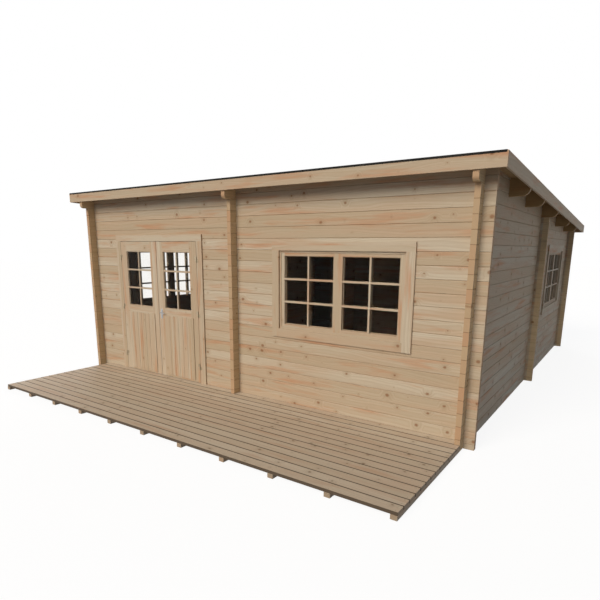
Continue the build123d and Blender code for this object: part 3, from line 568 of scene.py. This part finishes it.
def brushed_steel(name, dark, light, smooth, rough):
    """Steel, brushed along its height: a fine unevenness in colour and shine."""
    material, tree, shader = new_material(name)
    place = node(tree, "TexCoord", out="Object")
    wide, long = BRUSH
    spread = node(tree, "VectorMath", place, (1 / wide, 1 / wide, 1 / long), operation="MULTIPLY")
    brushed = node(tree, "TexNoise", spread, out="Fac", named={"Scale": 1.0, "Detail": 2.0})
    colour = node(tree, "Mix", out=MIXED_COLOUR, data_type="RGBA",
                  named={SHARE: brushed, FIRST_COLOUR: linear(dark), SECOND_COLOUR: linear(light)})
    tree.links.new(colour, shader.inputs["Base Color"])
    shine = node(tree, "MapRange", brushed, *NOISE_SPREAD, smooth, rough)
    tree.links.new(shine, shader.inputs["Roughness"])
    shader.inputs["Metallic"].default_value = 1.0
    return material


felt = mineral_felt()
glass = float_glass()
satin_steel = brushed_steel("satin_brushed_steel", "#A6A6A8", "#C0C0C2", smooth=0.3, rough=0.45)
zinc_steel = brushed_steel("yellow_zinc_plated_steel", "#A39680", "#B9AD97", smooth=0.5, rough=0.65)
print("finishes in all:", len(bpy.data.materials))

# %% [markdown]
# ## A finish for each node
#
# A node gets the finish whose grain runs the way that its real boards do: across in the front and back
# walls, along in the side walls, upright in jambs and leaves. The names could be matched by rules, but a
# plain table shows at once what is made of what, and the last line tells whether a node was forgotten.

# %% Give each node its finish
SIDE_WALL = ("front", "rear", "below_window", "above_window")
finish_of = {
    log_across: ["front_sill_log", "front_wall_left", "front_wall_middle", "front_wall_right", "back_wall",
                 "front_wall_below_window", "front_window_header_log", "front_wall_upper",
                 "cross_wall_left", "cross_wall_right", "cross_wall_over_doorway"],
    log_along: [side + "_wall_" + part for side in ("left", "right") for part in SIDE_WALL]
               + ["partition_front", "partition_rear", "partition_over_doorway"],
    board_across: ["door_head", "door_threshold"],
    roof_beams: ["roof_purlins"],
    fascia_across: ["front_fascia", "back_fascia"],
    board_along: ["left_fascia", "right_fascia", "floor_joists"],
    board_upright: ["door_jamb_left", "door_jamb_right"],
    leaf_wood: ["left_door_leaf", "right_door_leaf"],
    front_casing_wood: ["front_window_frame"],
    front_sash_wood: ["front_window_sashes"],
    side_casing_wood: ["left_window_frame", "right_window_frame"],
    side_sash_wood: ["left_window_sashes", "right_window_sashes"],
    roof_lining: ["roof_boards"],
    floor_planks: ["floor_boards"],
    terrace_planks: ["terrace_boards"],
    terrace_beams: ["terrace_joists"],
    felt: ["roof_felt"],
    glass: [name for name in nodes if name.endswith("_glass")],
    zinc_steel: [name for name in nodes if name.endswith("_hinges")],
    satin_steel: ["door_handle"],
}
for material, names in finish_of.items():
    for name in names:
        nodes[name].data.materials.clear()
        nodes[name].data.materials.append(material)
bare = set(nodes) - {name for names in finish_of.values() for name in names}
print("nodes without a finish:", sorted(bare))

# %% [markdown]
# ## Glazing bars
#
# Each pane looks like six small ones, because thin bars are laid over both faces of the glass. A bar is a
# short moulding: flat against the glass, with its front edges chamfered. It could be a box with a bevel,
# but a profile carried along a straight path gives the same shape as whole arrays, and the same function
# makes every later piece.


# %% Pieces from rings
def loft(rings):
    """Corners, quads and caps of closed tubes: rings[tube, station, point] are joined along each tube.

    The points of a ring run anticlockwise seen from the tube's far end, so that the faces point outwards.
    """
    number = np.arange(np.prod(rings.shape[:3])).reshape(rings.shape[:3])
    after = np.roll(number, -1, axis=2)
    quads = np.stack([number[:, :-1], after[:, :-1], after[:, 1:], number[:, 1:]], axis=-1).reshape(-1, 4)
    caps = np.concatenate([number[:, 0, ::-1], number[:, -1]])
    return rings.reshape(-1, 3), quads, caps


def put(name, shapes, material, body):
    """Join lofted shapes into one piece of one material, which rides on a body.

    The corners of the shapes follow each other, so the faces of a shape count on from the corners
    before it.
    """
    starts = np.cumsum([0] + [len(corners) for corners, quads, caps in shapes])
    faces = []
    for start, (corners, quads, caps) in zip(starts, shapes):
        faces += (quads + start).tolist() + (caps + start).tolist()
    mesh = bpy.data.meshes.new(name)
    mesh.from_pydata(np.concatenate([corners for corners, quads, caps in shapes]).tolist(), [], faces)
    mesh.materials.append(material)
    piece = bpy.data.objects.new(name, mesh)
    bpy.context.scene.collection.objects.link(piece)
    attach(piece, body)
    print(name, "faces:", len(faces))
    return piece


# %% Strips over the panes
BAR_WIDTH = 0.024
BAR_CHAMFER = 0.003
BAR_ROWS = 3
BAR_COLUMNS = 2
BEAD_WIDTH = 0.008
BEAD_DEPTH = 0.010
CROSS_DROP = 0.001         # crossbars lie this much lower, so that the uprights run through
PANE_HALF = 0.002
UP = np.array([0.0, 0.0, 1.0])


def strips_over(low, high, across, outward, width, depth, places, upright):
    """Lofted strips of one way over both faces of an opening, given its corners in the plane of the glass.

    The profile is half the width each side of the middle, straight for most of the depth, then chamfered.
    Places are the distances of the middles from the low corner, and a strip runs right through the opening.
    """
    half = width / 2
    straight = depth - BAR_CHAMFER
    front = half - BAR_CHAMFER
    profile = np.array([(-half, 0), (half, 0), (half, straight), (front, depth), (-front, depth),
                        (-half, straight)])
    run, step = (UP, across) if upright else (across, UP)
    starts = low + np.outer(places, step)
    ends = np.stack([starts, starts + run * ((high - low) @ run)], axis=1)
    shapes = []
    for face in (outward, -outward):
        side = np.cross(face, run)
        section = profile[:, :1] * side + profile[:, 1:] * face + PANE_HALF * face
        shapes.append(loft(ends[:, :, None] + section))
    return shapes


def glazing(low, high, across, outward, depth, upright):
    """The bars of one way in an opening, and the two beads that hold the glass along its edges."""
    size = (high - low) @ (across if upright else UP)
    count = BAR_COLUMNS if upright else BAR_ROWS
    drop = 0.0 if upright else CROSS_DROP
    middles = size * np.arange(1, count) / count
    edges = np.array([BEAD_WIDTH / 2, size - BEAD_WIDTH / 2])
    return (strips_over(low, high, across, outward, BAR_WIDTH, depth - drop, middles, upright)
            + strips_over(low, high, across, outward, BEAD_WIDTH, BEAD_DEPTH - drop, edges, upright))


print("panes in an opening:", BAR_ROWS * BAR_COLUMNS)

# %% Bars of windows and doors
MEETING_STILE = 0.05825    # from the middle of a window to the nearer edge of the glass
SASH_BAR_DEPTH = 0.031
DOOR_BAR_DEPTH = 0.017
OUTWARD = {"front": (0.0, -1.0, 0.0), "left": (-1.0, 0.0, 0.0), "right": (1.0, 0.0, 0.0)}


def openings(pane, frame_node, index):
    """Corners, in the plane of the glass, of each opening that a node of panes fills."""
    low, high = (np.array(corner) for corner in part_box(pane))
    frame_low, frame_high = (np.array(corner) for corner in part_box(frame_node))
    depth = 1 - index
    low[depth] = high[depth] = (low[depth] + high[depth]) / 2
    low[[index, 2]] += GLASS_EDGE
    high[[index, 2]] -= GLASS_EDGE
    if pane.endswith("door_glass"):
        return [(low, high)]
    middle = (frame_low[index] + frame_high[index]) / 2
    left_high, right_low = high.copy(), low.copy()
    left_high[index] = middle - MEETING_STILE
    right_low[index] = middle + MEETING_STILE
    return [(low, left_high), (right_low, high)]


def add_bars(name, fields, index, outward, depth, cross_wood, body):
    """The uprights and the crossbars of some openings, as two pieces."""
    across = np.eye(3)[index]
    for way, upright, wood in (("uprights", True, board_upright), ("crossbars", False, cross_wood)):
        shapes = [shape for low, high in fields
                  for shape in glazing(low, high, across, np.array(outward), depth, upright)]
        put(name + "_" + way, shapes, wood, body)


for side, (axis, index) in WINDOWS.items():
    fields = openings(side + "_window_glass", side + "_window_sashes", index)
    cross_wood = board_across if axis == "x" else board_along
    add_bars(side + "_window", fields, index, OUTWARD[side], SASH_BAR_DEPTH, cross_wood, "house")
for side in ("left", "right"):
    fields = openings(side + "_door_glass", side + "_door_leaf", 0)
    add_bars(side + "_door", fields, 0, OUTWARD["front"], DOOR_BAR_DEPTH, board_across, side + "_door")

# %% [markdown]
# ## Strips of roofing felt
#
# Felt comes in rolls one metre wide. The strips lie along the eaves and overlap, so that rain runs off.
# The CAD sheet is one flat plate, which would look like card. A cloth simulation could give it waves, but
# felt is nailed down and hardly moves. So each strip is its section, carried across the roof and lifted a
# little by two slow waves. At the high front edge the felt is folded down over the boards.

# %% Felt strips
FELT_THICKNESS = 0.0035
FELT_STEPS = 90
FELT_POINTS = 13
FELT_WAVE = 0.0012
# length across, length along, and shift for each next strip
WAVES = ((0.31, 0.23, 1), (0.17, -0.4, 2))


def felt_strip(index):
    """One strip: a thin section from its upper to its lower edge, which lies on the strip below it.

    A point at s along the slope and x across rides s * FELT_THICKNESS / FELT_WIDTH above the boards, and
    it is lifted by FELT_WAVE / 2 times the sum of 1 + sin(x / length + s / length + shift) over the two
    waves. A factor of sin(pi * s / FELT_WIDTH) lets the waves fade at the edges of the strip.
    """
    along = np.linspace(0.0, FELT_WIDTH, FELT_POINTS)
    across = np.linspace(felt_low.x, felt_high.x, FELT_STEPS)
    wave = sum(np.sin(across[:, None] / wide + along / long + shift * index) for wide, long, shift in WAVES)
    fade = np.sin(np.pi * along / FELT_WIDTH)
    ride = along * FELT_THICKNESS / FELT_WIDTH * (index < strip_count - 1)
    lift = ride + FELT_WAVE * (wave + len(WAVES)) * fade / 2
    under = eave + (index * strip_step + along)[:, None] * slope + lift[:, :, None] * square
    over = under + FELT_THICKNESS * square
    under[:, :, 0] = over[:, :, 0] = across[:, None]
    return loft(np.concatenate([under, over[:, ::-1]], axis=1)[None])


front_fold = np.array([(0.0, -BOARD_THICKNESS), (0.0, FELT_THICKNESS), (-FELT_THICKNESS, FELT_THICKNESS),
                       (-FELT_THICKNESS, -BOARD_THICKNESS)])
fold = eave + front_fold[:, :1] * np.array([0.0, 1.0, 0.0]) + front_fold[:, 1:] * UP
fold = np.stack([fold + (felt_low.x, 0, 0), fold + (felt_high.x, 0, 0)])
strips = [felt_strip(index) for index in range(strip_count)] + [loft(fold[None])]
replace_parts(put("roof_felt_strips", strips, felt, "house"), "roof_felt")

# %% [markdown]
# ## Terrace screws
#
# Two screws hold each board on each joist. A screw head is a low dome, so it is three rings of eight
# points. One head could be copied as an object hundreds of times. As one grid of arrays it is a single
# piece, and a mask keeps it off the notch round the corner logs.

# %% Screw heads
SCREW_RADIUS = 0.0045
SCREW_HEIGHT = 0.0012
SCREW_SIDES = 8
SCREW_SHARES = np.array([0.22, 0.78])
DOME_SHARES = np.array([(1.0, -0.2), (1.0, 0.5), (0.55, 1.0)])
NOTCH_REACH = 0.115
NOTCH_WIDTH = 0.062

joist_places = deck_low.x + TERRACE_JOIST_WIDTH / 2 + joist_pitch * np.arange(TERRACE_JOISTS)
board_starts = deck_low.y + deck_pitch * np.arange(TERRACE_BOARDS)
board_places = board_starts[:, None] + SCREW_SHARES * (deck_pitch - TERRACE_GAP)
x, y = (grid.ravel() for grid in np.meshgrid(joist_places, board_places.ravel()))
free = ~((x > deck_high.x - NOTCH_WIDTH) & (y > wall_face - NOTCH_REACH))
turn = np.arange(SCREW_SIDES) * math.tau / SCREW_SIDES
dome = DOME_SHARES * (SCREW_RADIUS, SCREW_HEIGHT)
ring = np.stack([np.cos(turn), np.sin(turn), np.zeros(SCREW_SIDES)], axis=-1)
head = dome[:, :1, None] * ring + dome[:, 1:, None] * UP
places = np.stack([x[free], y[free], np.full(free.sum(), deck_high.z)], axis=-1)
put("terrace_screws", [loft(places[:, None, None] + head)], zinc_steel, "house")

# %% [markdown]
# ## Lever handle
#
# The right leaf is opened by a lever on a long plate, the same on both faces. The CAD handle is made of
# plain blocks. Rounding their edges would keep them blocky, so each part is lofted again: the plate from
# a rounded outline with a bevelled edge, the lever from an oval that is carried round a bend and thins
# towards its end, and a lock cylinder below.

# %% Handle
PLATE_WIDTH = 0.036
PLATE_HEIGHT = 0.146
PLATE_THICKNESS = 0.005
PLATE_BEVEL = 0.002
HANDLE_HEIGHT = 1.012
LEVER_RISE = 0.0146
LEVER_REACH = 0.045
LEVER_LENGTH = 0.107
LEVER_BEND = 0.016
LEVER_HALF = (0.007, 0.009)
LEVER_TIP_SHARE = 0.75
LEVER_MIDDLE_SHARE = 0.6
LOCK_DROP = 0.035
LOCK_RADIUS = 0.0085
LOCK_RISE = 0.003
PANEL_RISE = 0.010         # how far the door's panel stands out in front of the stile
BEND_STEPS = 8
ROUND_SIDES = 24
ROUND = np.arange(ROUND_SIDES) * math.tau / ROUND_SIDES
SEAM_NUDGE = 1e-6          # keeps the points at the seams of the half circles on one side of them
RIGHT = np.array([1.0, 0.0, 0.0])

leaf_low, leaf_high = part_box("right_door_leaf")
spindle_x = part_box("door_handle")[0].x + PLATE_WIDTH / 2


def plate_ring(inset):
    """A stadium outline in (x, z): half circles of half the width, moved apart to the height."""
    radius = PLATE_WIDTH / 2 - inset
    shift = np.sign(np.sin(ROUND + SEAM_NUDGE)) * (PLATE_HEIGHT - PLATE_WIDTH) / 2
    return np.stack([np.cos(ROUND) * radius, np.sin(ROUND) * radius + shift], axis=-1)


def lever(centre, out):
    """An oval carried straight out, round a quarter bend and along the leaf, thinning evenly to its tip."""
    bend = np.linspace(0.0, math.pi / 2, BEND_STEPS)[1:]
    straight = LEVER_REACH - LEVER_BEND
    path_out = np.concatenate([[0.0, straight], straight + LEVER_BEND * np.sin(bend), [LEVER_REACH] * 2])
    path_x = np.concatenate([[0.0, 0.0], LEVER_BEND * (1 - np.cos(bend)),
                             [LEVER_LENGTH * LEVER_MIDDLE_SHARE, LEVER_LENGTH]])
    angle = np.concatenate([[0.0, 0.0], bend, [math.pi / 2] * 2])
    across = np.cross(UP, np.outer(np.sin(angle), RIGHT) + np.outer(np.cos(angle), out))
    spine = centre + LEVER_RISE * UP + np.outer(path_x, RIGHT) + np.outer(path_out, out)
    half_wide, half_high = LEVER_HALF
    oval = (np.cos(ROUND)[:, None] * across[:, None] * half_wide
            + np.sin(ROUND)[:, None] * UP * half_high)
    size = np.linspace(1.0, LEVER_TIP_SHARE, len(angle))
    return spine[:, None] + size[:, None, None] * oval


def face_shapes(face_y, way):
    """Plate, lock cylinder and lever on one face of the leaf. Way is the direction away from it along y."""
    plane = np.stack([-way * RIGHT, UP])
    out = np.array([0.0, way, 0.0])
    centre = np.array([spindle_x, face_y, HANDLE_HEIGHT])
    levels = ((0.0, 0.0), (PLATE_THICKNESS - PLATE_BEVEL, 0.0), (PLATE_THICKNESS, PLATE_BEVEL))
    plate = np.stack([centre + plate_ring(inset) @ plane + out * depth for depth, inset in levels])
    circle = LOCK_RADIUS * np.stack([np.cos(ROUND), np.sin(ROUND)], axis=-1) @ plane
    lock = np.stack([centre - LOCK_DROP * UP + circle + out * depth
                     for depth in (PLATE_THICKNESS, PLATE_THICKNESS + LOCK_RISE)])
    return [loft(plate[None]), loft(lock[None]), loft(lever(centre, out)[None])]


handle = face_shapes(leaf_low.y + PANEL_RISE, -1) + face_shapes(leaf_high.y, 1)
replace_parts(put("lever_handle", handle, satin_steel, "right_door"), "door_handle")

# %% [markdown]
# ## Studio
#
# The cabin stands on pale paper under a white sky, as in a catalogue. Lamps bright enough to burn the
# paper white would burn the wood too. So floor and sky look white only to rays that the eye follows, and
# they light the cabin no more than a grey room would. The floor keeps a share of the light on it, so that
# the cabin's shadow still shows.

# %% Floor and sky
FLOOR_HALF = 60.0
FLOOR_DROP = 0.001
FLOOR_LIGHT = 0.35         # how much of the light the floor sends back to the cabin
FLOOR_GLOW = 0.90          # what the camera sees of the floor before the light on it is added
FLOOR_SHADE = 0.14         # how much of the light on the floor the camera sees
SKY_COLOUR = "#DCEBFF"
SKY_STRENGTH = 0.157
WHITE = linear("#FFFFFF")


def seen_ray(tree):
    """1 for rays that the eye follows straight, by mirror or through glass, and 0 for other rays."""
    path = node(tree, "LightPath").node.outputs
    seen = node(tree, "Math", path["Is Camera Ray"], path["Is Glossy Ray"], operation="MAXIMUM")
    seen = node(tree, "Math", seen, path["Is Transmission Ray"], operation="MAXIMUM")
    straight = node(tree, "Math", path["Diffuse Depth"], 0.5, operation="LESS_THAN")
    return node(tree, "Math", seen, straight, operation="MULTIPLY")


floor_mesh = bpy.data.meshes.new("studio_floor")
floor_corners = np.array([(-1, -1), (1, -1), (1, 1), (-1, 1)]) * FLOOR_HALF
floor_corners = np.column_stack([floor_corners, np.full(4, -FLOOR_DROP)])
floor_mesh.from_pydata(floor_corners.tolist(), [], [(0, 1, 2, 3)])
floor = bpy.data.objects.new("studio_floor", floor_mesh)
bpy.context.scene.collection.objects.link(floor)
paper, tree, shader = new_material("white_paper")
seen = seen_ray(tree)
shade = node(tree, "MapRange", seen, 0.0, 1.0, FLOOR_LIGHT, FLOOR_SHADE)
glow = node(tree, "Math", seen, FLOOR_GLOW, operation="MULTIPLY")
tree.links.new(shade, shader.inputs["Base Color"])
tree.links.new(glow, shader.inputs["Emission Strength"])
shader.inputs["Roughness"].default_value = 1.0
shader.inputs["Specular IOR Level"].default_value = 0.0
shader.inputs["Emission Color"].default_value = WHITE
floor_mesh.materials.append(paper)

world = bpy.data.worlds.new("studio_sky")
bpy.context.scene.world = world
world.use_nodes = True
tree = world.node_tree
background = tree.nodes["Background"]
seen = seen_ray(tree)
colour = node(tree, "Mix", out=MIXED_COLOUR, data_type="RGBA",
              named={SHARE: seen, FIRST_COLOUR: linear(SKY_COLOUR), SECOND_COLOUR: WHITE})
tree.links.new(colour, background.inputs["Color"])
tree.links.new(node(tree, "MapRange", seen, 0.0, 1.0, SKY_STRENGTH, 1.0), background.inputs["Strength"])
print("floor", 2 * FLOOR_HALF, "m wide, sky at", SKY_STRENGTH)

# %% [markdown]
# The light is a wide, soft sun from the front left, with a weaker fill for the back, and the weak cool
# sky for the shaded side. Area lamps would do as well, but a sun lights a house evenly from end to end,
# and the width of its disc sets how soft the shadows under the eaves are.


# %% Sun and fill
def direction(left, height):
    """Unit vector to a lamp that stands so many degrees left of the front and so many degrees high."""
    left, height = math.radians(left), math.radians(height)
    flat = math.cos(height)
    return Vector((-math.sin(left) * flat, -math.cos(left) * flat, math.sin(height)))


def soft_sun(name, way, power, softness, colour):
    """A sun lamp that shines from the given direction, with a disc as wide as its softness in degrees."""
    light = bpy.data.lights.new(name, "SUN")
    light.energy = power
    light.angle = math.radians(softness)
    light.color = linear(colour)[:3]
    lamp = bpy.data.objects.new(name, light)
    bpy.context.scene.collection.objects.link(lamp)
    lamp.rotation_euler = way.to_track_quat("Z", "Y").to_euler()
    print(name, "from", tuple(round(value, 2) for value in way))


soft_sun("front_sun", direction(left=10, height=34), power=2.68, softness=36, colour="#FFF5E6")
soft_sun("back_fill", direction(left=145, height=25), power=1.0, softness=40, colour="#F4F6FF")

# %% [markdown]
# ## Camera
#
# The camera stands where the log joints, corners, terrace and roof edges line up with the photograph. It
# was found by fitting those lines, and not by eye. The tilt sets how the verticals lean, so a small lens
# shift frames the house, and not a steeper tilt.

# %% Camera
EYE = Vector((4.231, -7.3905, 1.976))
YAW, PITCH, ROLL = (math.radians(angle) for angle in (-34.617, -12.291, 0.357))

forward = Vector((math.sin(YAW) * math.cos(PITCH), math.cos(YAW) * math.cos(PITCH), math.sin(PITCH)))
level = Vector((math.cos(YAW), -math.sin(YAW), 0.0))
above = level.cross(forward)
right = math.cos(ROLL) * level + math.sin(ROLL) * above
up = math.cos(ROLL) * above - math.sin(ROLL) * level
lens = bpy.data.cameras.new("garden_view")
lens.sensor_width = 36.0
lens.lens = 29.09
lens.shift_x = 0.00485
lens.shift_y = 0.0884
lens.clip_end = 300.0
camera = bpy.data.objects.new("garden_view", lens)
camera.matrix_world = Matrix.Translation(EYE) @ Matrix((right, up, -forward)).transposed().to_4x4()
bpy.context.scene.collection.objects.link(camera)
bpy.context.scene.camera = camera
bpy.context.scene.view_settings.view_transform = "Standard"
print("camera at", tuple(round(value, 3) for value in EYE))
